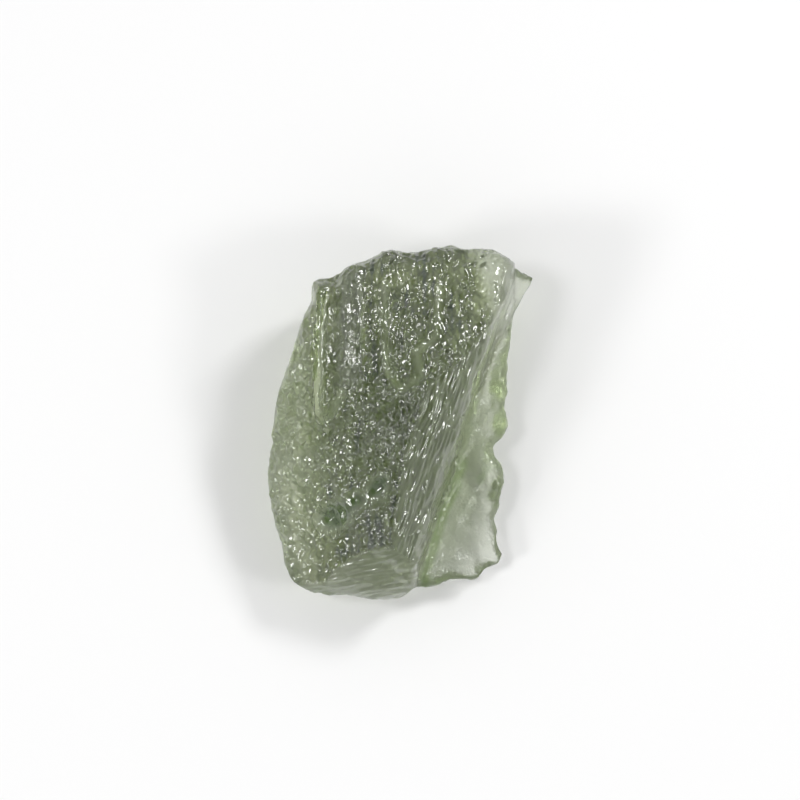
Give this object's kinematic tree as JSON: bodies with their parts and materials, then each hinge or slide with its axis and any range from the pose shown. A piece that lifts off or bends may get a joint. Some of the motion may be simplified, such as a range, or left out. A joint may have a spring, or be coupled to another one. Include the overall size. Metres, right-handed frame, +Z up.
{
  "type": "rough moldavite",
  "caption": "Rough chip of natural green glass with a broad grooved and pitted face, a brushed band beside a long ridge, a thin shelf along one flank, and a small flat spot to lie on.",
  "frame": {"origin": "under the middle of the stone's box, on the surface it lies on", "axes": "+Z up out of the broad face's side, +Y along the stone's length towards its grooved end, +X towards the flank with the shelf"},
  "size_m": [0.0152, 0.0198, 0.0084],
  "materials": {
    "moldavite_glass": "clear olive-green natural glass, pitted and satin outside, paler where it is thin"
  },
  "bodies": {
    "root": {"moldavite": "moldavite_glass"}
  },
  "joints": []
}
